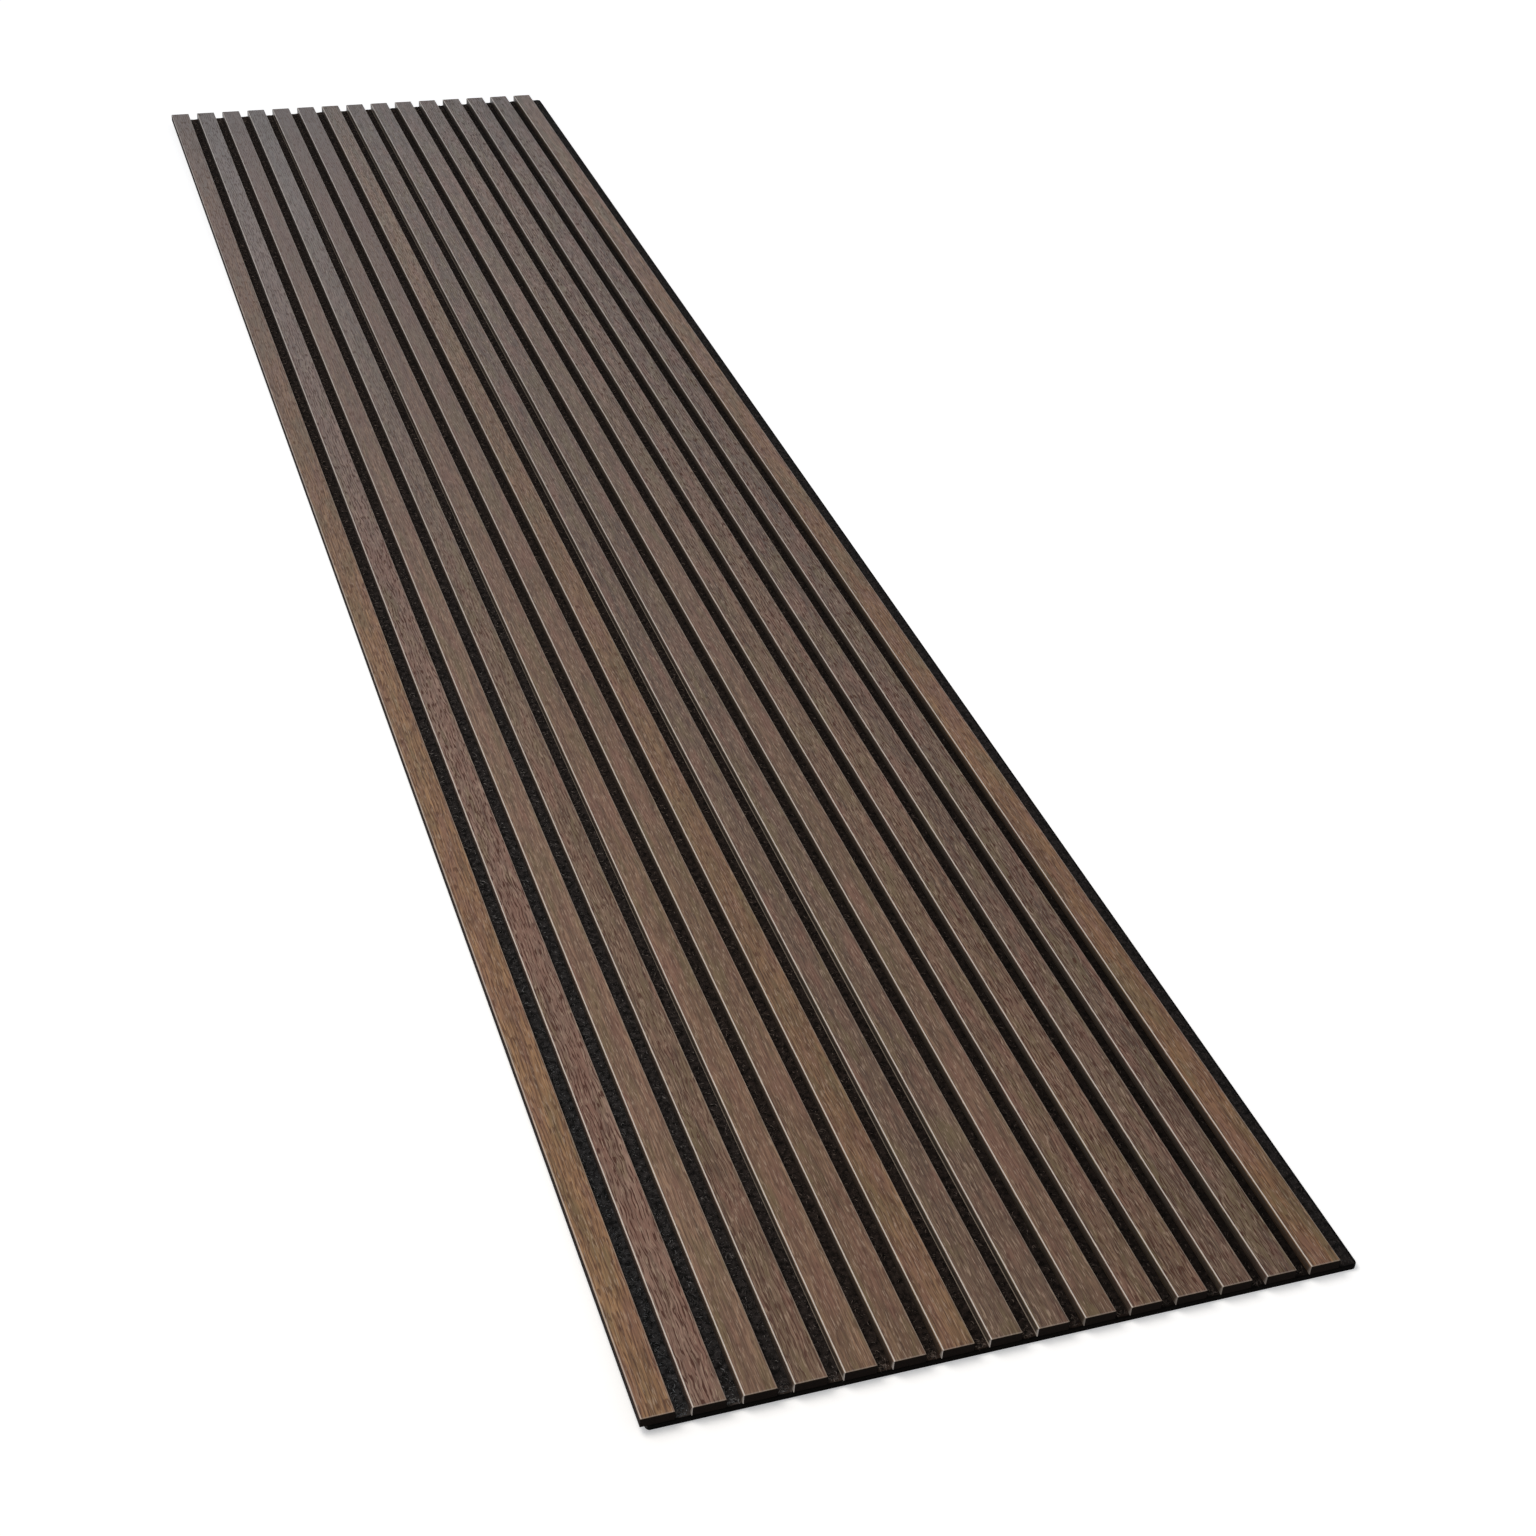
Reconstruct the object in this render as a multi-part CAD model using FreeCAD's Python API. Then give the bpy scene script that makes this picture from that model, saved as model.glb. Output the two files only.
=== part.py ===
import FreeCAD, Part
import math
import os
from FreeCAD import Vector

# Acoustic slat wall panel, lying on its back with its face up.
# X runs across the slats, Y along them and Z out of the wall. The origin is on the back face,
# in the middle of the footprint. All sizes are in millimetres.

# Panel
panel_length = 2700.0
slat_count = 15

# Slat, measured over its wrap
slat_width = 27.0
slat_height = 9.0
slat_gap = 13.0
arris_radius = 1.0
wrap_thickness = 0.5

# Felt backing
felt_thickness = 6.0
felt_corner_radius = 4.0

# How far the first slat stands out past the felt. The felt stands out past the last slat by this
# and one gap, so that the next panel's first slat keeps the same gap.
lap_overhang = 5.0

# Staples, driven from the back
staples_per_slat = 4
staple_end_distance = 150.0
staple_crown_width = 12.7
staple_wire_width = 1.25
staple_wire_thickness = 1.0
staple_point_length = 1.5
staple_recess = 0.4
staple_tip_cover = 2.5

# Worked out from the sizes above
slat_pitch = slat_width + slat_gap
felt_width = slat_count * slat_pitch
panel_width = felt_width + lap_overhang
panel_left = -panel_width / 2
felt_left = panel_left + lap_overhang
core_width = slat_width - 2 * wrap_thickness
core_height = slat_height - wrap_thickness
core_arris_radius = arris_radius - wrap_thickness
staple_tip_z = felt_thickness + core_height - staple_tip_cover


def slat_centre_x(number):
    """Middle of a slat, counted from 0 at the overhanging side."""
    return panel_left + slat_width / 2 + number * slat_pitch


def staple_centre_x(number):
    """Middle of a slat's staples: the middle of what the felt backs of the first slat."""
    return slat_centre_x(number) + lap_overhang / 2


def staple_rows():
    """Places of the staples along the panel, evenly spaced between the two end distances."""
    first = -panel_length / 2 + staple_end_distance
    spacing = (panel_length - 2 * staple_end_distance) / (staples_per_slat - 1)
    return [first + row * spacing for row in range(staples_per_slat)]


def strip(width, height, radius):
    """A strip the length of the panel, standing on the felt, with both upper arrises rounded."""
    half = width / 2
    shoulder = height - radius
    bulge = radius * math.sqrt(0.5)
    right_bulge = Vector(half - radius + bulge, 0, shoulder + bulge)
    left_bulge = Vector(-half + radius - bulge, 0, shoulder + bulge)
    outline = [
        Part.LineSegment(Vector(-half, 0, 0), Vector(half, 0, 0)),
        Part.LineSegment(Vector(half, 0, 0), Vector(half, 0, shoulder)),
        Part.Arc(Vector(half, 0, shoulder), right_bulge, Vector(half - radius, 0, height)),
        Part.LineSegment(Vector(half - radius, 0, height), Vector(-half + radius, 0, height)),
        Part.Arc(Vector(-half + radius, 0, height), left_bulge, Vector(-half, 0, shoulder)),
        Part.LineSegment(Vector(-half, 0, shoulder), Vector(-half, 0, 0)),
    ]
    section = Part.Face(Part.Wire([curve.toShape() for curve in outline]))
    section.translate(Vector(0, -panel_length / 2, felt_thickness))
    return section.extrude(Vector(0, panel_length, 0))


def staple(x, y, crown_face_z):
    """A wire staple with its points up, its crown across the slat and its crown's face at a height."""
    half = staple_crown_width / 2
    inside = half - staple_wire_thickness
    crown_inside_z = staple_recess + staple_wire_thickness
    outline = [
        Vector(-half, 0, crown_face_z),
        Vector(half, 0, crown_face_z),
        Vector(half, 0, staple_tip_z - staple_point_length),
        Vector(inside, 0, staple_tip_z),
        Vector(inside, 0, crown_inside_z),
        Vector(-inside, 0, crown_inside_z),
        Vector(-inside, 0, staple_tip_z),
        Vector(-half, 0, staple_tip_z - staple_point_length),
    ]
    section = Part.Face(Part.makePolygon(outline + outline[:1]))
    section.translate(Vector(x, y - staple_wire_width / 2, 0))
    return section.extrude(Vector(0, staple_wire_width, 0))


def slat_staples(number):
    """The staples that hold one slat."""
    return [staple(staple_centre_x(number), y, staple_recess) for y in staple_rows()]


def staple_pockets(number):
    """What one slat's staples push aside: their own shape, open to the back of the felt."""
    return [staple(staple_centre_x(number), y, 0) for y in staple_rows()]


def slat_core(number):
    """The MDF strip, with the two slots that each staple's legs make in its underside."""
    core = strip(core_width, core_height, core_arris_radius)
    core.translate(Vector(slat_centre_x(number), 0, 0))
    return core.cut(slat_staples(number))


def veneer_wrap(number):
    """The skin over the top and both sides of a slat, of one thickness round the arrises too."""
    skin = strip(slat_width, slat_height, arris_radius)
    wrap = skin.cut(strip(core_width, core_height, core_arris_radius))
    wrap.translate(Vector(slat_centre_x(number), 0, 0))
    return wrap


def felt_backing():
    """The felt sheet, die-cut with rounded corners, and with slots through it for the staples."""
    corner = Vector(felt_left, -panel_length / 2, 0)
    sheet = Part.makeBox(felt_width, panel_length, felt_thickness, corner)
    upright = [edge for edge in sheet.Edges if edge.BoundBox.ZLength > felt_thickness / 2]
    sheet = sheet.makeFillet(felt_corner_radius, upright)
    pockets = []
    for number in range(slat_count):
        pockets += staple_pockets(number)
    return sheet.cut(pockets)


def export(name, shape):
    """Write one piece, or one group of like pieces, to its own file."""
    shape.exportStep("parts/" + name + ".step")


os.makedirs("parts", exist_ok=True)
export("felt_backing", felt_backing())
all_staples = []
for number in range(slat_count):
    label = "%02d" % (number + 1)
    export("slat_core_" + label, slat_core(number))
    export("veneer_wrap_" + label, veneer_wrap(number))
    all_staples += slat_staples(number)
export("staples", Part.makeCompound(all_staples))
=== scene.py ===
import bmesh
import bpy
import math
import random
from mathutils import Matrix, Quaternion, Vector, noise


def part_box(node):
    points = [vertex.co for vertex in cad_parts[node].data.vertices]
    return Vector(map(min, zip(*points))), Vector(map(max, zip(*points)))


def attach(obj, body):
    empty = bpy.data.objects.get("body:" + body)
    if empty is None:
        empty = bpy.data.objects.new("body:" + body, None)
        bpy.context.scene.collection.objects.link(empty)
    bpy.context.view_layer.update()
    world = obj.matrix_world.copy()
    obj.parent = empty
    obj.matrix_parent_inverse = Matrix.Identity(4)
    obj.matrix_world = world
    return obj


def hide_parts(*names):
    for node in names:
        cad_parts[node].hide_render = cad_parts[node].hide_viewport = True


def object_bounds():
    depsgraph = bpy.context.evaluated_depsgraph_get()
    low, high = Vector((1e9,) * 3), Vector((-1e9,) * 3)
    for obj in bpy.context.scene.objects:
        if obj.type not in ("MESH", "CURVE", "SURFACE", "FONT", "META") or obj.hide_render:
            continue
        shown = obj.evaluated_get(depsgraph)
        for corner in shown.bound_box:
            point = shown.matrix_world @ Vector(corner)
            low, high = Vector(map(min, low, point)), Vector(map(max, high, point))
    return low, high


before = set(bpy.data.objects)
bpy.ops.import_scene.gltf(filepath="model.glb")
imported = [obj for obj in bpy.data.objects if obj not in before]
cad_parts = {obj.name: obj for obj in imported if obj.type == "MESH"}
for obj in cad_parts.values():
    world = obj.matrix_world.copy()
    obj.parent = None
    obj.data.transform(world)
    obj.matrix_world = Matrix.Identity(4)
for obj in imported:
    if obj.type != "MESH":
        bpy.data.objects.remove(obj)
cad_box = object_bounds()


# Felt backing
# One sheet of black polyester fibre, needled into felt and die-cut with rounded corners.
# The slats are glued and stapled to it, and it shows in the grooves and along the right side.
FELT_LOW, FELT_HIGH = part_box("felt_backing")
SLATS = [name[-2:] for name in sorted(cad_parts) if name.startswith("slat_core_")]
WRAPS = [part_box("veneer_wrap_" + number) for number in SLATS]
SLAT_WIDTH = WRAPS[0][1].x - WRAPS[0][0].x
SLAT_PITCH = WRAPS[1][0].x - WRAPS[0][0].x
GROOVES = [(left[1].x, right[0].x) for left, right in zip(WRAPS, WRAPS[1:])]
GROOVES.append((WRAPS[-1][1].x, FELT_HIGH.x))
MARGIN_LEFT = GROOVES[-1][0]
ROW_LENGTH = 0.006
ROWS = round((FELT_HIGH.y - FELT_LOW.y) / ROW_LENGTH)
CELLS_ACROSS = 7
TOP_ROUND = 0.0014
BOTTOM_ROUND = 0.0003
ROUND_STEPS = 3
SMOOTH_ANGLE = math.radians(40)
SAME_PLACE = 1e-6
NEARLY_SAME = 1e-5
FACING = 0.9  # the least part of a normal along an axis for its face to count as facing that way


def pick(piece, kind, test):
    """In edit mode, select only those verts, edges or faces that pass a test."""
    mesh = bmesh.from_edit_mesh(piece.data)
    for group in (mesh.verts, mesh.edges, mesh.faces):
        for item in group:
            item.select = False
    for item in getattr(mesh, kind):
        if test(item):
            item.select = True
    mesh.select_flush_mode()
    bmesh.update_edit_mesh(piece.data)


def take(piece):
    """Select one piece alone and make it the active one."""
    bpy.ops.object.select_all(action="DESELECT")
    piece.select_set(True)
    bpy.context.view_layer.objects.active = piece


# One row of the sheet is shaped from a box, with cells in its open strips and its cut edges rounded.
bpy.ops.object.select_all(action="DESELECT")
bpy.ops.mesh.primitive_cube_add(size=1.0, location=(
    (FELT_LOW.x + FELT_HIGH.x) / 2, FELT_LOW.y + ROW_LENGTH / 2, (FELT_LOW.z + FELT_HIGH.z) / 2))
felt = bpy.context.object
felt.name = "felt_sheet"
felt.scale = (FELT_HIGH.x - FELT_LOW.x, ROW_LENGTH, FELT_HIGH.z - FELT_LOW.z)
bpy.ops.object.transform_apply(location=True, rotation=True, scale=True)
bpy.ops.object.mode_set(mode="EDIT")
bpy.ops.mesh.select_mode(type="FACE")
pick(felt, "faces", lambda face: abs(face.normal.y) > FACING)
bpy.ops.mesh.delete(type="FACE")
for groove_left, groove_right in GROOVES:
    for cell in range(CELLS_ACROSS + 1):
        cut_x = groove_left + (groove_right - groove_left) * cell / CELLS_ACROSS
        if cut_x < FELT_HIGH.x - TOP_ROUND:
            pick(felt, "faces", lambda face: face.normal.z > FACING
                 and min(v.co.x for v in face.verts) < cut_x < max(v.co.x for v in face.verts))
            bpy.ops.mesh.bisect(plane_co=(cut_x, 0, 0), plane_no=(1, 0, 0))
bpy.ops.mesh.select_mode(type="EDGE")
for edge_z, offset in ((FELT_HIGH.z, TOP_ROUND), (FELT_LOW.z, BOTTOM_ROUND)):
    pick(felt, "edges", lambda edge: abs(edge.verts[0].co.y - edge.verts[1].co.y) > ROW_LENGTH / 2
         and all(abs(v.co.z - edge_z) < SAME_PLACE
                 and min(v.co.x - FELT_LOW.x, FELT_HIGH.x - v.co.x) < SAME_PLACE for v in edge.verts))
    bpy.ops.mesh.bevel(offset=offset, segments=ROUND_STEPS)
bpy.ops.object.mode_set(mode="OBJECT")

# The row is repeated along the panel, and both open ends are closed.
rows = felt.modifiers.new("rows", "ARRAY")
rows.count = ROWS
rows.use_relative_offset = False
rows.use_constant_offset = True
rows.constant_offset_displace = (0, ROW_LENGTH, 0)
rows.use_merge_vertices = True
rows.merge_threshold = NEARLY_SAME
bpy.ops.object.modifier_apply(modifier="rows")
bpy.ops.object.mode_set(mode="EDIT")
bpy.ops.mesh.select_all(action="DESELECT")
bpy.ops.mesh.select_non_manifold()
bpy.ops.mesh.edge_face_add()
bpy.ops.object.mode_set(mode="OBJECT")

# The rows at both ends close up, the plan corners and the cut edges get round, and the nap rises and dips
# in the open strips, where nothing presses it down.
CORNER_RADIUS = 0.004
CORNER_REACH = 0.005
END_ROWS = [0.0, 0.0002, 0.0006, 0.0013, 0.0024, 0.004, 0.0062]
NAP_HEIGHT = 0.0006
NAP_LENGTH = 0.0055
NAP_FINER = 2.3
NAP_FINER_PART = 0.5
NAP_SINK = 0.45
NAP_PRESSED = 0.0015
felt_length = FELT_HIGH.y - FELT_LOW.y
for point in felt.data.vertices:
    row = round((point.co.y - FELT_LOW.y) / ROW_LENGTH)
    from_end = min(row, ROWS - row)
    if from_end < len(END_ROWS):
        at = END_ROWS[from_end]
        point.co.y = FELT_LOW.y + at if row < ROWS / 2 else FELT_HIGH.y - at
    else:
        inner = (row - len(END_ROWS) + 1) / (ROWS - 2 * len(END_ROWS) + 2)
        at = END_ROWS[-1] + inner * (felt_length - 2 * END_ROWS[-1])
        point.co.y = FELT_LOW.y + at
    edge = min(at, felt_length - at)
    if edge < CORNER_RADIUS:
        shrink = CORNER_RADIUS - math.sqrt(CORNER_RADIUS ** 2 - (CORNER_RADIUS - edge) ** 2)
        keep = (CORNER_REACH - shrink) / CORNER_REACH
        if point.co.x > FELT_HIGH.x - CORNER_REACH:
            point.co.x = FELT_HIGH.x - CORNER_REACH + (point.co.x - FELT_HIGH.x + CORNER_REACH) * keep
        if point.co.x < FELT_LOW.x + CORNER_REACH:
            point.co.x = FELT_LOW.x + CORNER_REACH - (FELT_LOW.x + CORNER_REACH - point.co.x) * keep
    upper = point.co.z > (FELT_LOW.z + FELT_HIGH.z) / 2
    roundness = TOP_ROUND if upper else BOTTOM_ROUND
    if edge < roundness:
        drop = roundness - math.sqrt(roundness ** 2 - (roundness - edge) ** 2)
        point.co.z += -drop if upper else drop
    for groove_left, groove_right in GROOVES:
        inside = min(point.co.x - groove_left, groove_right - point.co.x)
        if inside > 0 and point.co.z > FELT_HIGH.z - TOP_ROUND:
            coarse = point.co / NAP_LENGTH
            rise = noise.noise(coarse) + NAP_FINER_PART * noise.noise(coarse * NAP_FINER) - NAP_SINK
            point.co.z += NAP_HEIGHT * rise * min(1, inside / NAP_PRESSED)

# The staples push their own shape into the felt, open to the back.
pushed = bpy.data.objects.new("staple_pockets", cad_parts["staples"].data.copy())
bpy.context.scene.collection.objects.link(pushed)
take(pushed)
bpy.ops.object.mode_set(mode="EDIT")
bpy.ops.mesh.select_all(action="SELECT")
bpy.ops.mesh.remove_doubles(threshold=SAME_PLACE)
CROWN_FACE_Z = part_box("staples")[0].z
bpy.ops.mesh.select_mode(type="FACE")
pick(pushed, "faces", lambda face: face.normal.z < -FACING
     and abs(face.calc_center_median().z - CROWN_FACE_Z) < NEARLY_SAME)
bpy.ops.transform.translate(value=(0, 0, -2 * CROWN_FACE_Z))
bpy.ops.object.mode_set(mode="OBJECT")
pockets = felt.modifiers.new("pockets", "BOOLEAN")
pockets.operation = "DIFFERENCE"
pockets.object = pushed
take(felt)
bpy.ops.object.modifier_apply(modifier="pockets")
bpy.data.objects.remove(pushed)
bpy.ops.object.shade_smooth_by_angle(angle=SMOOTH_ANGLE)


def linear(hex_colour):
    """An sRGB colour such as #6a5648 as linear red, green, blue and alpha."""
    parts = [int(hex_colour[place:place + 2], 16) / 255 for place in (1, 3, 5)]
    return [((c + 0.055) / 1.055) ** 2.4 if c > 0.04045 else c / 12.92 for c in parts] + [1.0]


def add(material, kind, links=None, stops=None, **settings):
    """Add one node. links maps its inputs to values or (node, output) pairs, stops are (place, colour)."""
    tree = material.node_tree
    made = tree.nodes.new("ShaderNode" + kind)
    for name, value in settings.items():
        setattr(made, name, value)
    while stops and len(made.color_ramp.elements) < len(stops):
        made.color_ramp.elements.new(0.5)
    for index, (place, colour) in enumerate(stops or []):
        made.color_ramp.elements[index].position = place
        made.color_ramp.elements[index].color = colour
    for socket, value in (links or {}).items():
        if isinstance(value, tuple) and isinstance(value[0], bpy.types.Node):
            tree.links.new(value[0].outputs[value[1]], made.inputs[socket])
        else:
            made.inputs[socket].default_value = value
    return made


def new_material(name):
    """A node material with nothing in it yet."""
    material = bpy.data.materials.new(name)
    material.use_nodes = True
    material.node_tree.nodes.clear()
    return material


def paint(piece, material):
    """Give a piece one material on all its faces."""
    piece.data.materials.clear()
    piece.data.materials.append(material)


PER_MM = 1000.0
# Ends of the ramps that are used as masks, not as colours.
NONE, PARTLY, FULLY = (0, 0, 0, 1), (0.55, 0.55, 0.55, 1), (1, 1, 1, 1)
# Sockets of a Mix node for colours: how much of the second, the first, the second, and the result.
PART, FIRST, SECOND, MIXED = 0, 6, 7, 2


def felt_tones(material, split):
    """Two masks over the felt: where it is blacker, toward its margin and near end, and where it is browner,
    everywhere but toward the near left corner.
    """
    blackening_across = add(material, "MapRange", {"Value": (split, "X"), "From Min": -0.22, "From Max": 0.24,
                                              "To Min": 0.0, "To Max": 0.75})
    blackening_along = add(material, "MapRange", {"Value": (split, "Y"), "From Min": -1.0, "From Max": 0.0,
                                             "To Min": 1.0, "To Max": 0.7})
    blackening = add(material, "Math", {0: (blackening_across, "Result"), 1: (blackening_along, "Result")},
                operation="MULTIPLY")
    browning_across = add(material, "MapRange", {"Value": (split, "X"), "From Min": -0.27, "From Max": -0.10})
    browning_along = add(material, "MapRange", {"Value": (split, "Y"), "From Min": -1.1, "From Max": 0.2})
    muted = add(material, "Math", {0: (browning_along, "Result"), 1: (browning_across, "Result")},
                operation="MAXIMUM")
    return blackening, muted


def needled_felt(name):
    """Black polyester needled to felt: clumps of nap, single paler fibres, painted shade by the slats and at
    the cut ends.
    """
    clump_size_mm = 5.0
    fibre_size_mm = 1.7
    end_shade_from, end_shade_to = FELT_HIGH.y - 0.0014, FELT_HIGH.y - 0.0008
    pale_end_from, pale_end_to = FELT_HIGH.y - 0.009, FELT_HIGH.y - 0.003
    side_from, side_to = FELT_HIGH.x - 0.0035, FELT_HIGH.x - 0.0015
    nap_from, nap_to = FELT_HIGH.z - 0.0030, FELT_HIGH.z - 0.0015
    foot_from, foot_to = SLAT_WIDTH + 0.0014, SLAT_WIDTH + 0.0034
    material = new_material(name)
    place = add(material, "TexCoord")
    split = add(material, "SeparateXYZ", {0: (place, "Object")})
    off_middle = add(material, "Math", {0: (split, "Y")}, operation="ABSOLUTE")
    blackening, muted = felt_tones(material, split)

    # Clumps of nap, with single fibres paler than the rest.
    clumps = add(material, "TexNoise", {"Vector": (place, "Object"), "Scale": PER_MM / clump_size_mm,
                                        "Detail": 3.0, "Roughness": 0.6})
    fibres = add(material, "TexNoise", {"Vector": (place, "Object"), "Scale": PER_MM / fibre_size_mm,
                                        "Detail": 2.0, "Roughness": 0.6, "Distortion": 2.5})
    tone = add(material, "ValToRGB", {"Fac": (clumps, "Fac")},
               stops=[(0.38, linear("#111111")), (0.66, linear("#353435"))])
    specks = add(material, "ValToRGB", {"Fac": (fibres, "Fac")}, stops=[(0.62, NONE), (0.68, FULLY)])
    speckled = add(material, "Mix", {PART: (specks, "Color"), FIRST: (tone, "Color"),
                                     SECOND: linear("#67686a")}, data_type="RGBA")

    # The cut ends: paler just inside, more so on the left, partly fluff and partly a painted highlight where
    # light catches the rounded end. At the cut itself, painted near-black shade.
    pale_end = add(material, "MapRange", {"Value": (off_middle, "Value"), "From Min": pale_end_from,
                                        "From Max": pale_end_to, "To Max": 0.35})
    lit_left = add(material, "MapRange", {"Value": (split, "X"), "From Min": -0.05, "From Max": 0.15,
                                           "To Min": 1.0, "To Max": 0.15})
    fray_and_highlight = add(material, "Math", {0: (pale_end, "Result"), 1: (lit_left, "Result")}, operation="MULTIPLY")
    fluffy_and_lit = add(material, "Mix", {PART: (fray_and_highlight, "Value"), FIRST: (speckled, MIXED),
                                   SECOND: linear("#5a524d")}, data_type="RGBA")
    shaded_end = add(material, "MapRange", {"Value": (off_middle, "Value"), "From Min": end_shade_from,
                                        "From Max": end_shade_to})
    end_shaded = add(material, "Mix", {PART: (shaded_end, "Result"), FIRST: (fluffy_and_lit, MIXED),
                                   SECOND: linear("#0a0908")}, data_type="RGBA")

    # Blacker toward the margin, but less so on the margin itself up to its own cut side.
    in_groove = add(material, "MapRange", {"Value": (split, "X"), "From Min": MARGIN_LEFT,
                                           "From Max": MARGIN_LEFT + 0.002, "To Min": 1.0, "To Max": 0.45})
    groove_blackening = add(material, "Math", {0: (blackening, "Value"), 1: (in_groove, "Result")}, operation="MULTIPLY")
    cut_side = add(material, "MapRange", {"Value": (split, "X"), "From Min": side_from, "From Max": side_to})
    darkening = add(material, "Math", {0: (cut_side, "Result"), 1: (groove_blackening, "Value")}, operation="MAXIMUM")
    blacker = add(material, "Mix", {PART: (darkening, "Value"), FIRST: (end_shaded, MIXED),
                                    SECOND: linear("#070707")}, data_type="RGBA")

    # A painted shadow along the right side of each slat, standing in for the shadow the slat casts on the nap
    # in the corner. The margin has no slat after it, so the pattern ends there.
    past_first = add(material, "Math", {0: (split, "X"), 1: WRAPS[0][0].x}, operation="SUBTRACT")
    across = add(material, "Math", {0: (past_first, "Value"), 1: SLAT_PITCH}, operation="MODULO")
    foot = add(material, "MapRange", {"Value": (across, "Value"), "From Min": foot_from,
                                      "From Max": foot_to, "To Min": 0.6, "To Max": 0.0})
    on_nap = add(material, "MapRange", {"Value": (split, "Z"), "From Min": nap_from, "From Max": nap_to})
    nap_foot = add(material, "Math", {0: (foot, "Result"), 1: (on_nap, "Result")}, operation="MULTIPLY")
    in_pattern = add(material, "Math", {0: (split, "X"), 1: MARGIN_LEFT + SLAT_WIDTH / 2},
                      operation="LESS_THAN")
    painted_shadow_mask = add(material, "Math", {0: (nap_foot, "Value"), 1: (in_pattern, "Value")},
                    operation="MULTIPLY")
    shadowed = add(material, "Mix", {PART: (painted_shadow_mask, "Value"), FIRST: (blacker, MIXED),
                                   SECOND: linear("#060504")}, data_type="RGBA")

    brown_part = add(material, "Math", {0: (muted, "Value"), 1: (in_groove, "Result")}, operation="MULTIPLY")
    browned = add(material, "Mix", {PART: (brown_part, "Value"), FIRST: (shadowed, MIXED),
                                    SECOND: linear("#ffe0cc")}, data_type="RGBA", blend_type="MULTIPLY")
    height = add(material, "Math", {0: (clumps, "Fac"), 1: (fibres, "Fac")}, operation="ADD")
    relief = add(material, "Bump", {"Height": (height, "Value"), "Strength": 0.8, "Distance": 0.001})
    shader = add(material, "BsdfPrincipled", {"Base Color": (browned, MIXED), "Roughness": 0.95, "IOR": 1.5,
                                              "Specular IOR Level": 0.05, "Normal": (relief, "Normal")})
    add(material, "OutputMaterial", {"Surface": (shader, "BSDF")})
    return material


paint(felt, needled_felt("needled_polyester_felt"))
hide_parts("felt_backing")
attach(felt, "root")


# Loose fibres of the felt
# Ends and loops of the same polyester fibre that stand out of the nap in the grooves and at the cut edges.
# Real ones are some 0.03 mm thick. These are drawn up to 0.6 mm thick, as thin as the render still shows.
FIBRE_COUNT = 14000
FIBRE_SEED = 7
FIBRE_THICKNESS = 0.00060
THINNEST_SHARE = 0.55
LONGEST_FIBRE = 0.0075
SHORTEST_SHARE = 0.35
MOST_CURL = 0.3
FIBRE_LIFT = (-0.0003, 0.0006)
ROOT_DEPTH = 0.0008
SIDE_CLEARANCE = 0.0008
END_CLEARANCE = 0.004
# The clean margin has this share of the fibres that its width would give it.
MARGIN_SHARE = 0.3
# A share of all the fibres crowds toward the frayed cut ends, from this deep to this near.
END_SHARE = 0.05
END_DEPTH = 0.03
END_EDGE = 0.003


def loose_fibres(name, count, seed):
    """Short curled fibres with pointed ends and two bends each, scattered over the felt's open strips."""
    draw = random.Random(seed)
    points, faces = [], []
    widths = [right - left for left, right in GROOVES]
    widths[-1] *= MARGIN_SHARE
    for _ in range(count):
        left, right = draw.choices(GROOVES, widths)[0]
        length = draw.uniform(SHORTEST_SHARE, 1.0) * LONGEST_FIBRE
        turn = draw.uniform(0, math.pi)
        along = Vector((math.cos(turn), math.sin(turn), 0)) * length
        across = Vector((-math.sin(turn), math.cos(turn), 0))
        curl = across * length * draw.uniform(-MOST_CURL, MOST_CURL)
        half = (abs(along.x) + abs(curl.x)) / 2 + SIDE_CLEARANCE
        reach = draw.uniform(0.0, 1.0)
        place_y = FELT_LOW.y + END_CLEARANCE + reach * (FELT_HIGH.y - FELT_LOW.y - 2 * END_CLEARANCE)
        if draw.random() < END_SHARE:
            place_y = math.copysign(FELT_HIGH.y - END_EDGE - END_DEPTH * reach ** 2, place_y)
        if right - left > 2 * half:
            place_x = draw.uniform(left + half, right - half)
        else:
            place_x = (left + right) / 2
        middle = Vector((place_x, place_y, FELT_HIGH.z + draw.uniform(*FIBRE_LIFT)))
        thick = FIBRE_THICKNESS * draw.uniform(THINNEST_SHARE, 1.0)
        root = Vector((0, 0, -ROOT_DEPTH))
        # Two tips, then a ring of three points at each bend.
        start = len(points)
        points += [middle - along / 2 - curl / 2 + root, middle + along / 2 - curl / 2 + root]
        for bend in (-along / 6, along / 6):
            centre = middle + bend + curl / 2
            points += [centre + across * thick / 2, centre - across * thick / 2,
                       centre + Vector((0, 0, thick))]
        for side, following in ((2, 4), (4, 3), (3, 2)):
            faces += [(start, start + side, start + following),
                      (start + 1, start + following + 3, start + side + 3),
                      (start + side, start + side + 3, start + following + 3, start + following)]
    mesh = bpy.data.meshes.new(name)
    mesh.from_pydata(points, [], faces)
    made = bpy.data.objects.new(name, mesh)
    bpy.context.scene.collection.objects.link(made)
    take(made)
    bpy.ops.object.mode_set(mode="EDIT")
    bpy.ops.mesh.select_all(action="SELECT")
    bpy.ops.mesh.normals_make_consistent(inside=False)
    bpy.ops.object.mode_set(mode="OBJECT")
    return made


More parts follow.
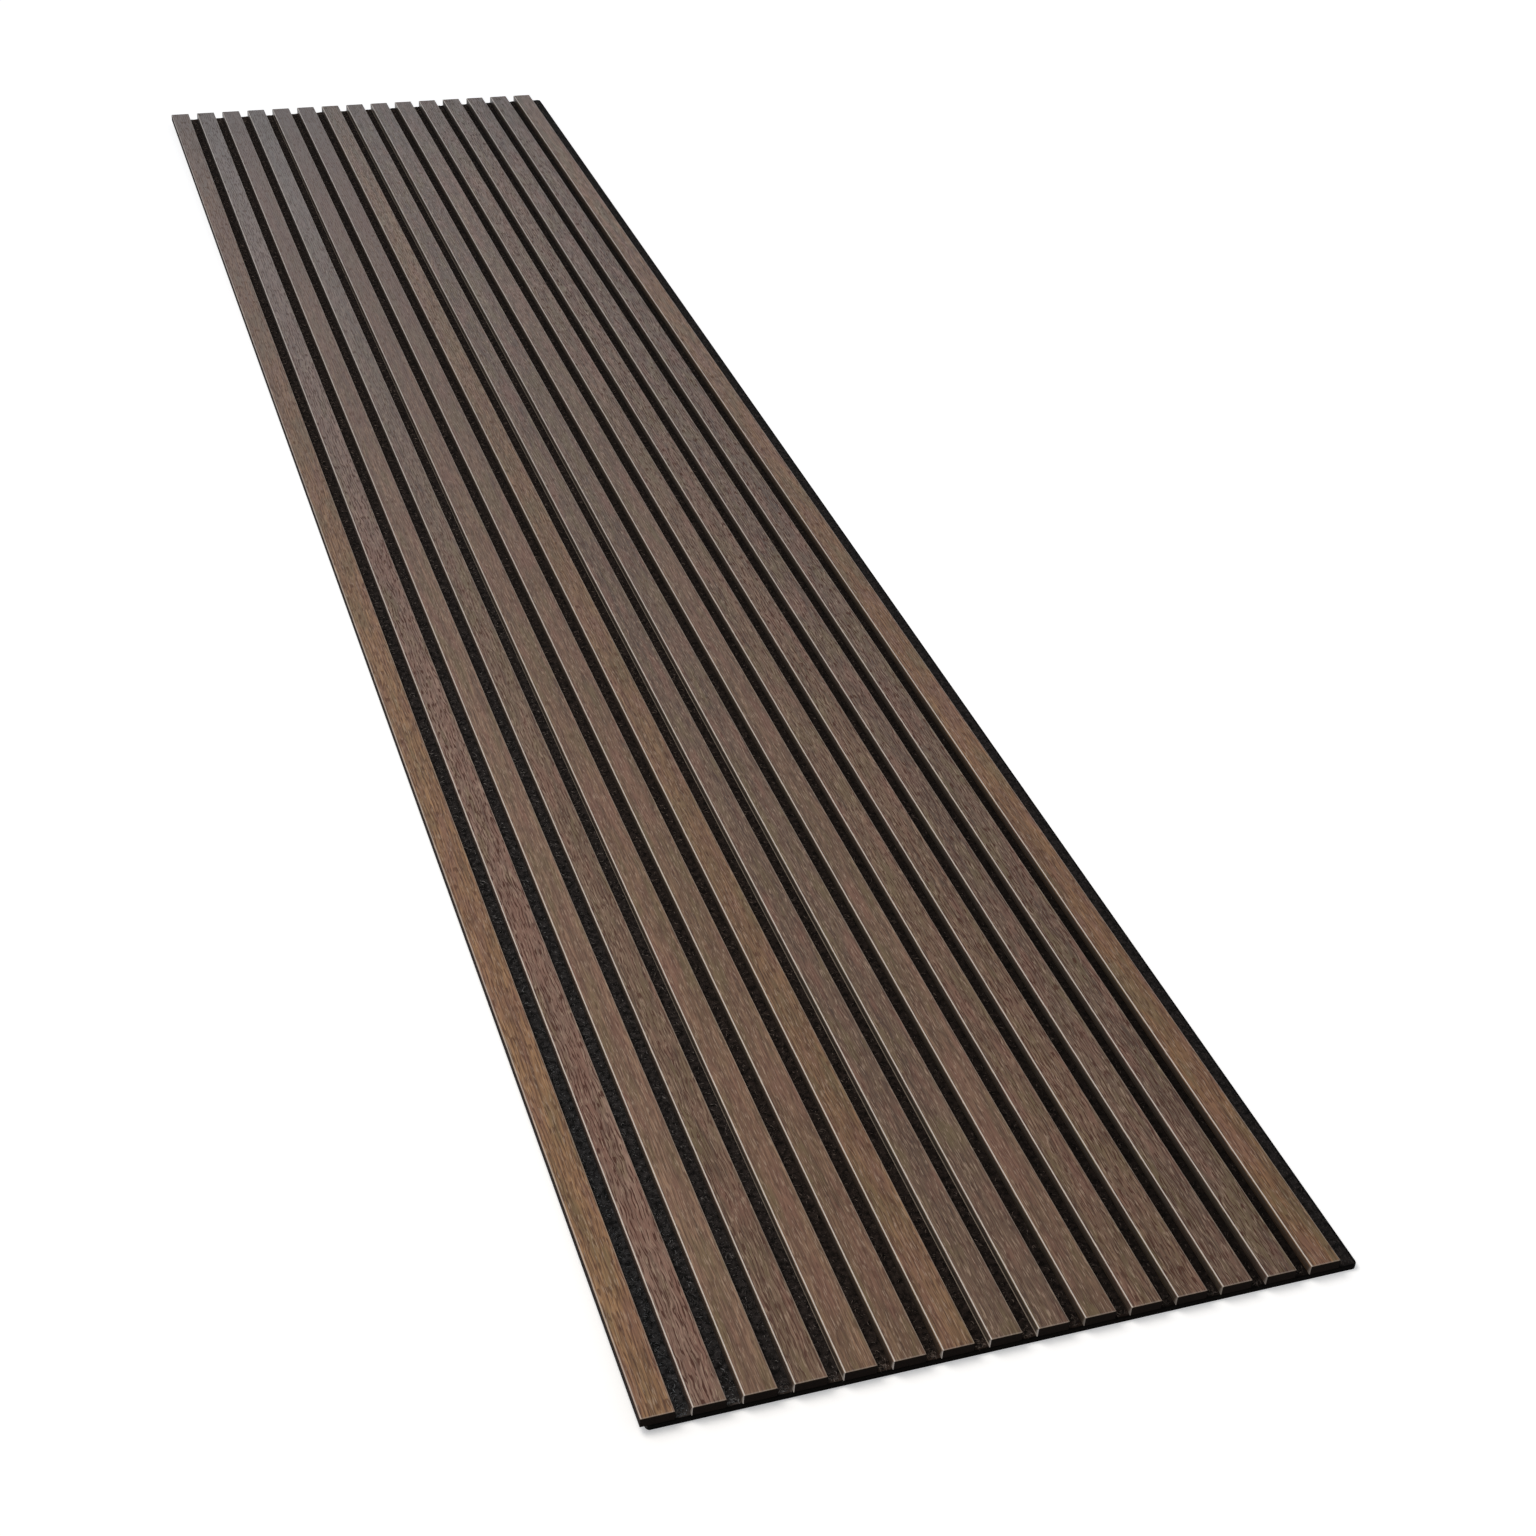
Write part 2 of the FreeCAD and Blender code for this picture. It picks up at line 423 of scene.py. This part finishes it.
def polyester_fibre(name):
    """Drawn polyester fibre, dyed black: painted grey highlights in patches, and blacker toward the margin.
    """
    glint_size_mm = 3.0
    material = new_material(name)
    place = add(material, "TexCoord")
    split = add(material, "SeparateXYZ", {0: (place, "Object")})
    blackening, muted = felt_tones(material, split)
    glint_patches = add(material, "TexNoise", {"Vector": (place, "Object"), "Scale": PER_MM / glint_size_mm})
    tone = add(material, "ValToRGB", {"Fac": (glint_patches, "Fac")},
               stops=[(0.38, linear("#161616")), (0.68, linear("#999c9f"))])
    darker = add(material, "Mix", {PART: (blackening, "Value"), FIRST: (tone, "Color"),
                                   SECOND: linear("#0a0a0a")}, data_type="RGBA")
    browned = add(material, "Mix", {PART: (muted, "Value"), FIRST: (darker, MIXED),
                                    SECOND: linear("#ffe0cc")}, data_type="RGBA", blend_type="MULTIPLY")
    shader = add(material, "BsdfPrincipled", {"Base Color": (browned, MIXED), "Roughness": 0.6,
                                              "IOR": 1.57, "Specular IOR Level": 0.1})
    add(material, "OutputMaterial", {"Surface": (shader, "BSDF")})
    return material


fuzz = loose_fibres("felt_loose_fibres", FIBRE_COUNT, FIBRE_SEED)
paint(fuzz, polyester_fibre("black_polyester_fibre"))
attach(fuzz, "root")


# Slat cores
# Strips of MDF dyed black through, sawn to length and glued and stapled to the felt.
# Only their sawn end faces show, between the skin and the felt.
def dyed_mdf(name):
    """Medium-density fibreboard dyed black through and sawn: very fine brown-black fibre speckle, matt."""
    fibre_size_mm = 0.8
    material = new_material(name)
    place = add(material, "TexCoord")
    fibres = add(material, "TexNoise", {"Vector": (place, "Object"), "Scale": PER_MM / fibre_size_mm,
                                        "Detail": 4.0, "Roughness": 0.6})
    tone = add(material, "ValToRGB", {"Fac": (fibres, "Fac")},
               stops=[(0.35, linear("#090605")), (0.75, linear("#1e1510"))])
    relief = add(material, "Bump", {"Height": (fibres, "Fac"), "Strength": 0.4, "Distance": 0.0002})
    shader = add(material, "BsdfPrincipled", {"Base Color": (tone, "Color"), "Roughness": 0.9, "IOR": 1.5,
                                              "Specular IOR Level": 0.06, "Normal": (relief, "Normal")})
    add(material, "OutputMaterial", {"Surface": (shader, "BSDF")})
    return material


mdf = dyed_mdf("black_dyed_mdf")
for number in SLATS:
    paint(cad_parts["slat_core_" + number], mdf)


# Veneer wraps
# Smoked-oak skins half a millimetre thick, pressed round the top and both sides of each core and trimmed
# flush with its ends. Each is cut from another leaf, so tone and grain differ from slat to slat.
# The pale lines on the skins are partly wear and partly painted light.
SOFT = 0.0003  # over which the edge of a rubbed line fades
LEAF_STEP = (0.0, 3.7, 0.9)  # how far one leaf reads its patterns from where the last one does


def band(material, value, low, high, soft):
    """A mask that is 1 between low and high and fades to 0 over soft on both sides."""
    rise = add(material, "MapRange", {"Value": value, "From Min": low - soft, "From Max": low})
    fall = add(material, "MapRange", {"Value": value, "From Min": high + soft, "From Max": high})
    return add(material, "Math", {0: (rise, "Result"), 1: (fall, "Result")}, operation="MULTIPLY")


def smoked_oak(name, seed, slat, tone, pore_strength, wave_mm, far_painted_tone, wear_and_light):
    """Smoked oak under matt lacquer: wavy dark vessels, pale flecks, drifting hue, rubbed arrises, and
    painted light and shade.
    """
    low, high = slat
    light, middle, dark = [linear(colour) for colour in tone]
    wander_mm = (26.0, 110.0, 26.0)
    quiver_mm = (12.0, 17.0, 12.0)
    figure_mm = (7.0, 240.0, 7.0)
    streak_mm = (0.9, 26.0, 0.9)
    break_mm = (4.0, 30.0, 4.0)
    hue_mm = (13.0, 85.0, 13.0)
    # Real vessels and flecks are half a millimetre wide or less. They are drawn up to 1.5 mm wide, to show.
    pit_mm = (1.5, 13.0, 1.5)
    fleck_mm = (0.9, 11.0, 0.9)
    vessel_gap_mm = 2.9
    wave_turns = 20 / math.tau  # a wave texture's lines stand tau / 20 of its own units apart
    vessel_mm = (vessel_gap_mm * wave_turns, 22.0, vessel_gap_mm * wave_turns)
    material = new_material(name)
    place = add(material, "TexCoord")
    split = add(material, "SeparateXYZ", {0: (place, "Object")})
    leaf = add(material, "Mapping", {"Vector": (place, "Object"),
                                     "Location": [seed * step for step in LEAF_STEP]})

    # The leaf's patterns. All but the two that push the grain sideways follow the grain that they give.
    noises = {}
    grain = leaf
    for pattern, size_mm, detail, distortion in (
            ("wander", wander_mm, 2.0, 0.0), ("quiver", quiver_mm, 1.0, 0.0), ("figure", figure_mm, 4.0, 0.5),
            ("streaks", streak_mm, 2.0, 0.0), ("breaks", break_mm, 1.0, 0.0),
            ("pits", pit_mm, 0.0, 0.0), ("flecks", fleck_mm, 1.0, 0.0), ("hues", hue_mm, 3.0, 0.0)):
        if pattern == "figure":
            swings = []
            for swing, reach_mm in (("wander", wave_mm * 2), ("quiver", wave_mm * 1.1)):
                level = add(material, "Math", {0: (noises[swing], "Fac"), 1: 0.5}, operation="SUBTRACT")
                swings.append(add(material, "Math", {0: (level, "Value"), 1: reach_mm / PER_MM},
                                  operation="MULTIPLY"))
            sideways = add(material, "Math", {0: (swings[0], "Value"), 1: (swings[1], "Value")},
                           operation="ADD")
            push = add(material, "CombineXYZ", {"X": (sideways, "Value")})
            grain = add(material, "VectorMath", {0: (leaf, "Vector"), 1: (push, "Vector")},
                        operation="ADD")
        stretched = add(material, "Mapping", {"Vector": (grain, "Vector"),
                                              "Scale": [PER_MM / size for size in size_mm]})
        noises[pattern] = add(material, "TexNoise", {
            "Vector": (stretched, "Vector"), "Scale": 1.0, "Detail": detail, "Roughness": 0.55,
            "Distortion": distortion})

    # Body colour, rosy in some patches and mossy in others.
    blend = add(material, "Mix", {0: 0.62, 2: (noises["figure"], "Fac"), 3: (noises["streaks"], "Fac")})
    wood = add(material, "ValToRGB", {"Fac": (blend, 0)},
               stops=[(0.33, dark), (0.50, middle), (0.67, light)])
    rosy = add(material, "ValToRGB", {"Fac": (noises["hues"], "Fac")}, stops=[(0.52, NONE), (0.66, PARTLY)])
    mossy = add(material, "ValToRGB", {"Fac": (noises["hues"], "Fac")}, stops=[(0.35, PARTLY), (0.48, NONE)])
    blushed = add(material, "Mix", {PART: (rosy, "Color"), FIRST: (wood, "Color"),
                                    SECOND: linear("#7f5b4d")}, data_type="RGBA")
    hued = add(material, "Mix", {PART: (mossy, "Color"), FIRST: (blushed, MIXED),
                                 SECOND: linear("#6d5f42")}, data_type="RGBA")

    # Open vessels in broken wavy lines, short dark pits, and pale flecks.
    lines = add(material, "Mapping", {"Vector": (grain, "Vector"),
                                      "Scale": [PER_MM / size for size in vessel_mm]})
    waves = add(material, "TexWave", {"Vector": (lines, "Vector"), "Scale": 1.0, "Distortion": 5.0,
                                      "Detail": 1.0, "Detail Scale": 0.5, "Detail Roughness": 0.5})
    crests = add(material, "MapRange", {"Value": (waves, "Fac"), "From Min": 0.60, "From Max": 0.92})
    unbroken = add(material, "MapRange", {"Value": (noises["breaks"], "Fac"), "From Min": 0.42,
                                          "From Max": 0.54})
    vessels = add(material, "Math", {0: (crests, "Result"), 1: (unbroken, "Result")}, operation="MULTIPLY")
    pits = add(material, "MapRange", {"Value": (noises["pits"], "Fac"), "From Min": 0.61, "From Max": 0.67})
    opened = add(material, "Math", {0: (vessels, "Value"), 1: (pits, "Result")}, operation="MAXIMUM")
    pore_mask = add(material, "Math", {0: (opened, "Value"), 1: pore_strength}, operation="MULTIPLY")
    pored = add(material, "Mix", {PART: (pore_mask, "Value"), FIRST: (hued, MIXED),
                                  SECOND: linear("#42241a")}, data_type="RGBA")
    pale = add(material, "ValToRGB", {"Fac": (noises["flecks"], "Fac")},
               stops=[(0.60, NONE), (0.68, PARTLY)])
    finish = add(material, "Mix", {PART: (pale, "Color"), FIRST: (pored, MIXED),
                                   SECOND: linear("#ab947f")}, data_type="RGBA")

    # Painted light toward the far end: two leaves at the left go toward a grey sheen, four toward a darker
    # shade, and all are painted duller and greyer over the last third of a metre.
    if far_painted_tone:
        far_painted_part = add(material, "MapRange", {"Value": (split, "Y"), "From Min": -0.2, "From Max": 1.0,
                                           "To Max": 0.6})
        finish = add(material, "Mix", {PART: (far_painted_part, "Result"), FIRST: (finish, MIXED),
                                       SECOND: linear(far_painted_tone)}, data_type="RGBA")
    far_shade = add(material, "MapRange", {"Value": (split, "Y"), "From Min": 1.0, "From Max": high.y,
                                         "To Max": 0.45})
    far_shaded = add(material, "Mix", {PART: (far_shade, "Result"), FIRST: (finish, MIXED),
                                   SECOND: linear("#45423f")}, data_type="RGBA")

    # The sides get painted shade: duller than the top and darkest at their foot, less so near the ends, where
    # light reaches into the grooves.
    side_from, side_to = high.z - 0.0010, high.z - 0.0022
    end_light_from = high.y - 0.10
    off_middle = add(material, "Math", {0: (split, "Y")}, operation="ABSOLUTE")
    side = add(material, "MapRange", {"Value": (split, "Z"), "From Min": side_from, "From Max": side_to})
    side_shade_part = add(material, "MapRange", {"Value": (off_middle, "Value"), "From Min": end_light_from,
                                         "From Max": high.y, "To Min": wear_and_light["side"],
                                         "To Max": wear_and_light["side_shade_at_end"]})
    shaded = add(material, "Math", {0: (side, "Result"), 1: (side_shade_part, "Result")}, operation="MULTIPLY")
    climb = add(material, "MapRange", {"Value": (split, "Z"), "From Min": low.z, "From Max": high.z})
    side_shade_ramp = add(material, "ValToRGB", {"Fac": (climb, "Result")},
               stops=[(0.0, linear("#14100d")), (0.65, linear(wear_and_light["side_shade_colour"]))])
    finish = add(material, "Mix", {PART: (shaded, "Value"), FIRST: (far_shaded, MIXED),
                                   SECOND: (side_shade_ramp, "Color")}, data_type="RGBA")
    if wear_and_light["lip"]:
        lip_low, lip_high = low.z + 0.0006, low.z + 0.0019
        lip = band(material, (split, "Z"), lip_low, lip_high, SOFT)
        lip_mask = add(material, "Math", {0: (lip, "Value"), 1: wear_and_light["lip"]}, operation="MULTIPLY")
        finish = add(material, "Mix", {PART: (lip_mask, "Value"), FIRST: (finish, MIXED),
                                       SECOND: linear("#e0cdb9")}, data_type="RGBA")

    # Both arrises are painted paler, the right one faintly and the left one more: partly rubbed wear, partly
    # a painted highlight where the light from the left catches the rounded arris.
    top_from, top_to = high.z - 0.0012, high.z - 0.0007
    right_line = (high.x - 0.0008, high.x)
    left_line = (low.x + 0.0005, low.x + 0.0011)
    on_top = add(material, "MapRange", {"Value": (split, "Z"), "From Min": top_from, "From Max": top_to})
    for (line_low, line_high), part, colour in (
            (right_line, 0.45, "#aa9b8d"), (left_line, wear_and_light["arris"], "#ddd4ca")):
        line = band(material, (split, "X"), line_low, line_high, SOFT)
        rubbed_and_lit = add(material, "Math", {0: (line, "Value"), 1: (on_top, "Result")}, operation="MULTIPLY")
        arris_wear_and_highlight = add(material, "Math", {0: (rubbed_and_lit, "Value"), 1: part}, operation="MULTIPLY")
        finish = add(material, "Mix", {PART: (arris_wear_and_highlight, "Value"), FIRST: (finish, MIXED),
                                       SECOND: linear(colour)}, data_type="RGBA")

    # The near end is painted pale over a strip that widens down the left side: partly the trimmed edge,
    # partly painted light where light reaches into the open end of the groove. It stops short of the right
    # side, which is left in shade.
    foot_trim, top_trim, full_trim = high.y - 0.0045, high.y - 0.0012, high.y - 0.0003
    flare = add(material, "MapRange", {"Value": (split, "Z"), "From Min": low.z, "From Max": high.z,
                                       "To Min": foot_trim, "To Max": top_trim})
    nearness = add(material, "Math", {0: (split, "Y"), 1: -1.0}, operation="MULTIPLY")
    trim = add(material, "MapRange", {"Value": (nearness, "Value"), "From Min": (flare, "Result"),
                                      "From Max": full_trim})
    trim_part = add(material, "MapRange", {"Value": (side, "Result"), "To Min": 0.3,
                                           "To Max": wear_and_light["trim"]})
    trim_and_light = add(material, "Math", {0: (trim, "Result"), 1: (trim_part, "Result")}, operation="MULTIPLY")
    trim_right = high.x - 0.0014
    lit_part = band(material, (split, "X"), wear_and_light["trim_left"], trim_right, 2 * SOFT)
    lit_trim_mask = add(material, "Math", {0: (trim_and_light, "Value"), 1: (lit_part, "Value")},
                    operation="MULTIPLY")
    trimmed = add(material, "Mix", {PART: (lit_trim_mask, "Value"), FIRST: (finish, MIXED),
                                    SECOND: linear("#c4bab1")}, data_type="RGBA")

    # The lacquer bridges the fine grain and sinks into the open vessels, which are rougher.
    roughness = add(material, "MapRange", {"Value": (pore_mask, "Value"), "To Min": 0.32, "To Max": 0.75})
    depth = add(material, "Math", {0: (noises["streaks"], "Fac"), 1: (opened, "Value")},
                operation="SUBTRACT")
    relief = add(material, "Bump", {"Height": (depth, "Value"), "Strength": 0.4, "Distance": 0.0003})
    shader = add(material, "BsdfPrincipled", {
        "Base Color": (trimmed, MIXED), "Roughness": (roughness, "Result"), "IOR": 1.5,
        "Specular IOR Level": 0.18, "Normal": (relief, "Normal")})
    add(material, "OutputMaterial", {"Surface": (shader, "BSDF")})
    return material


def sawn_skin(name, left_colour, slat):
    """The skin sawn across, bare of lacquer: its left leg in a tone of its own, the right one painted dark as
    shade.
    """
    low, high = slat
    material = new_material(name)
    split = add(material, "SeparateXYZ", {0: (add(material, "TexCoord"), "Object")})
    reach = add(material, "MapRange", {"Value": (split, "X"), "From Min": low.x, "From Max": high.x})
    tone = add(material, "ValToRGB", {"Fac": (reach, "Result")},
               stops=[(0.030, linear(left_colour)), (0.045, linear("#8a7664")), (0.940, linear("#6b5a4c")),
                      (0.965, linear("#0c0806"))])
    shader = add(material, "BsdfPrincipled", {"Base Color": (tone, "Color"), "Roughness": 0.9, "IOR": 1.5,
                                              "Specular IOR Level": 0.06})
    add(material, "OutputMaterial", {"Surface": (shader, "BSDF")})
    return material


def shade_painted_oak(name):
    """Smoked oak painted nearly black and without sheen, as painted shade all down the outer side of the
    first slat.
    """
    streak_mm = (1.5, 30.0, 1.5)
    material = new_material(name)
    stretched = add(material, "Mapping", {"Vector": (add(material, "TexCoord"), "Object"),
                                          "Scale": [PER_MM / size for size in streak_mm]})
    streaks = add(material, "TexNoise", {"Vector": (stretched, "Vector"), "Scale": 1.0, "Detail": 2.0})
    tone = add(material, "ValToRGB", {"Fac": (streaks, "Fac")},
               stops=[(0.35, linear("#16110f")), (0.70, linear("#2e2623"))])
    shader = add(material, "BsdfPrincipled", {"Base Color": (tone, "Color"), "Roughness": 0.9, "IOR": 1.5,
                                              "Specular IOR Level": 0.06})
    add(material, "OutputMaterial", {"Surface": (shader, "BSDF")})
    return material


def paint_faces(piece, material, test):
    """Give those faces of a piece that pass a test a material of their own."""
    piece.data.materials.append(material)
    for face in piece.data.polygons:
        if test(face):
            face.material_index = len(piece.data.materials) - 1


# Light, middle and dark tones of the leaves.
GOLDEN = ("#ac8660", "#876649", "#574030")
UMBER = ("#90725a", "#6f5643", "#493629")
TAUPE = ("#836c59", "#655041", "#403027")
ROSE = ("#9e8171", "#7b6153", "#4f3c32")
HONEY = ("#987758", "#765a41", "#4f3a28")
RUSSET = ("#9b7551", "#79593e", "#4e3828")
FAWN = ("#96775e", "#735946", "#4c382b")
BUFF = ("#9c7d65", "#795f4d", "#503c2f")
DUN = ("#8d7460", "#6d5745", "#46342a")
SMOKE = ("#8b6e58", "#6b5442", "#473528")
TONES = {"01": GOLDEN, "02": ROSE, "03": BUFF, "04": DUN, "05": FAWN, "07": HONEY, "08": TAUPE, "09": TAUPE,
         "10": SMOKE, "11": SMOKE, "12": SMOKE, "13": TAUPE, "14": TAUPE, "15": RUSSET}
# How dark the open vessels of a leaf are, and by how many millimetres its grain waves.
PORES = {"01": 0.65, "02": 0.9, "04": 0.75, "07": 0.6, "08": 0.5, "09": 0.5, "11": 0.7, "12": 0.85,
         "13": 0.8, "14": 0.85, "15": 0.6}
PLAIN_PORES = 0.45
WAVES_MM = {"02": 2.6, "04": 1.8, "08": 1.6, "09": 1.6, "12": 1.6, "13": 1.8, "14": 2.2}
PLAIN_WAVE_MM = 0.8
# Painted light toward the far ends of the leaves at the left: a grey sheen and a darker shade.
SHEEN_GREY, SHADE_BROWN = "#7a716c", "#624d44"
FAR_LIGHT_TONES = {"01": SHADE_BROWN, "02": SHEEN_GREY, "03": SHADE_BROWN, "04": SHEEN_GREY, "05": SHADE_BROWN, "06": SHADE_BROWN}
# Slats with a pale line low on the left side, and the first slat from which the trimmed end is dimmer and
# greyer.
LIPPED = ("05", "08", "09")
DIMMER_TRIM_FROM = 9
for order, number in enumerate(SLATS):
    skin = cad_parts["veneer_wrap_" + number]
    skin_left = WRAPS[order][0].x
    # Parts, from 0 to 1, of the rubbed arris with its painted highlight, the side's painted shade, its pale
    # line and the trimmed end with its painted light.
    if order == 0:
        wear_and_light = {"arris": 0.45, "side": 1.0, "side_shade_at_end": 1.0, "side_shade_colour": "#1c1815", "lip": 0.0,
                "trim": 0.9, "trim_left": skin_left + 0.0012}
        # The first slat's sawn left leg is painted near-black as shade, like its side.
        sawn_left = "#16110f"
    else:
        muted = order >= DIMMER_TRIM_FROM
        wear_and_light = {"arris": 0.82, "side": 0.88, "side_shade_at_end": 0.75, "side_shade_colour": "#4b453f",
                "lip": 0.65 if number in LIPPED else 0.0,
                "trim": 0.45 if muted else 0.9, "trim_left": skin_left}
        sawn_left = "#8b8279" if muted else "#ccc2bb"
    paint(skin, smoked_oak("smoked_oak_leaf_" + number, order + 1, WRAPS[order], TONES.get(number, UMBER),
                           PORES.get(number, PLAIN_PORES), WAVES_MM.get(number, PLAIN_WAVE_MM),
                           FAR_LIGHT_TONES.get(number), wear_and_light))
    paint_faces(skin, sawn_skin("sawn_oak_skin_" + number, sawn_left, WRAPS[order]),
                lambda face: abs(face.normal.y) > FACING)
    # The first slat's outer side gets painted shade, nearly black.
    if order == 0:
        paint_faces(skin, shade_painted_oak("shade_painted_oak_side"), lambda face: face.normal.x < -FACING)


# Staples
# Galvanised steel wire, four staples to a slat, driven from the back through the felt into the cores.
# Their crowns are sunk just below the back of the felt.
def galvanised_wire(name):
    """Zinc-coated steel wire: pale grey, slightly cloudy, half bright."""
    cloud_size_mm = 1.5
    material = new_material(name)
    place = add(material, "TexCoord")
    cloud = add(material, "TexNoise", {"Vector": (place, "Object"), "Scale": PER_MM / cloud_size_mm})
    tone = add(material, "ValToRGB", {"Fac": (cloud, "Fac")},
               stops=[(0.3, linear("#9b9b98")), (0.7, linear("#c4c4c0"))])
    shader = add(material, "BsdfPrincipled", {"Base Color": (tone, "Color"), "Metallic": 1.0,
                                              "Roughness": 0.35})
    add(material, "OutputMaterial", {"Surface": (shader, "BSDF")})
    return material


paint(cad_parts["staples"], galvanised_wire("galvanised_staple_wire"))


# Studio
# A plain white floor just under the panel, one soft lamp high behind on the left, a softbox over the near
# left corner, a cooler one low beyond the far end, and a pale room all round, seen and mirrored as white.
FLOOR_SIDE = 400.0
FLOOR_DROP = 0.0002
ROOM_LEVEL = 0.27


def seen_rays(material):
    """A mask that is 1 for the camera, reflections and glass, and 0 for the light that falls on the panel."""
    rays = add(material, "LightPath")
    mirrored = add(material, "Math", {0: (rays, "Is Glossy Ray"), 1: (rays, "Is Transmission Ray")},
                   operation="MAXIMUM")
    return add(material, "Math", {0: (rays, "Is Camera Ray"), 1: (mirrored, "Value")}, operation="MAXIMUM")


def white_floor(name):
    """Plain white paper, lifted to white where it is seen, less near the softbox, with the shadow kept."""
    bright_spot = (-0.5, -1.4, 0.0)
    material = new_material(name)
    paper = add(material, "BsdfDiffuse", {"Color": linear("#f3f3f3")})
    from_spot = add(material, "VectorMath", {0: (add(material, "TexCoord"), "Object"), 1: bright_spot},
                    operation="DISTANCE")
    far_lift = add(material, "MapRange", {"Value": (from_spot, "Value"), "From Min": 0.2, "From Max": 1.5,
                                          "To Min": 0.33, "To Max": 0.56})
    lift = add(material, "Math", {0: (seen_rays(material), "Value"), 1: (far_lift, "Result")},
               operation="MULTIPLY")
    glow = add(material, "Emission", {"Strength": (lift, "Value")})
    both = add(material, "AddShader", {0: (paper, "BSDF"), 1: (glow, "Emission")})
    add(material, "OutputMaterial", {"Surface": (both, 0)})
    return material


bpy.ops.object.select_all(action="DESELECT")
bpy.ops.mesh.primitive_plane_add(size=FLOOR_SIDE, location=(0, 0, cad_box[0][2] - FLOOR_DROP))
floor = bpy.context.object
floor.name = "studio_floor"
paint(floor, white_floor("white_studio_floor"))

world = bpy.data.worlds.new("studio_room")
bpy.context.scene.world = world
world.use_nodes = True
world.node_tree.nodes.clear()
room_level = add(world, "MapRange", {"Value": (seen_rays(world), "Value"), "To Min": ROOM_LEVEL,
                                     "To Max": 1.0})
backdrop = add(world, "Background", {"Color": linear("#f4f8ff"), "Strength": (room_level, "Result")})
add(world, "OutputWorld", {"Surface": (backdrop, "Background")})


def lamp(name, kind, place, target, power, colour):
    """A studio lamp at a place, aimed at a target."""
    data = bpy.data.lights.new(name, kind)
    data.energy = power
    data.color = linear(colour)[:3]
    made = bpy.data.objects.new(name, data)
    bpy.context.scene.collection.objects.link(made)
    made.location = place
    made.rotation_euler = (Vector(target) - Vector(place)).to_track_quat("-Z", "Y").to_euler()
    return made


key = lamp("high_key", "SUN", place=(-1.3, 1.1, 2.2), target=(0, 0, 0), power=1.01, colour="#fdfcfb")
key.data.angle = math.radians(36)
near_box = lamp("near_left_softbox", "AREA", place=(-0.6, -0.95, 1.5), target=(-0.2, -1.1, 0), power=9.0,
                colour="#fff6ea")
near_box.data.size = 0.8
far_box = lamp("far_cool_softbox", "AREA", place=(1.0, 6.0, 2.2), target=(0, 0.6, 0), power=13.0,
               colour="#f0f0f6")
far_box.data.shape = "RECTANGLE"
far_box.data.size = 6.0
far_box.data.size_y = 1.8
for softbox in (near_box, far_box):
    softbox.visible_camera = False


# Camera
# It stands low beyond the near left corner of the panel and looks along the slats to the far right,
# with the lens and the slight roll that put the slats' corners where the photo has them.
EYE = Vector((-0.6584, -2.4349, 1.4128))
AIM = Vector((0.0527, -0.5904, 0.0150))
ROLL = math.radians(4.25)
LENS_MM = 55.59
SENSOR_MM = 36.0
camera_data = bpy.data.cameras.new("photo_camera")
camera_data.sensor_width = SENSOR_MM
camera_data.lens = LENS_MM
camera = bpy.data.objects.new("photo_camera", camera_data)
bpy.context.scene.collection.objects.link(camera)
camera.location = EYE
camera.rotation_mode = "QUATERNION"
camera.rotation_quaternion = (AIM - EYE).to_track_quat("-Z", "Y") @ Quaternion((0, 0, 1), ROLL)
bpy.context.scene.camera = camera
bpy.context.scene.view_settings.view_transform = "Standard"
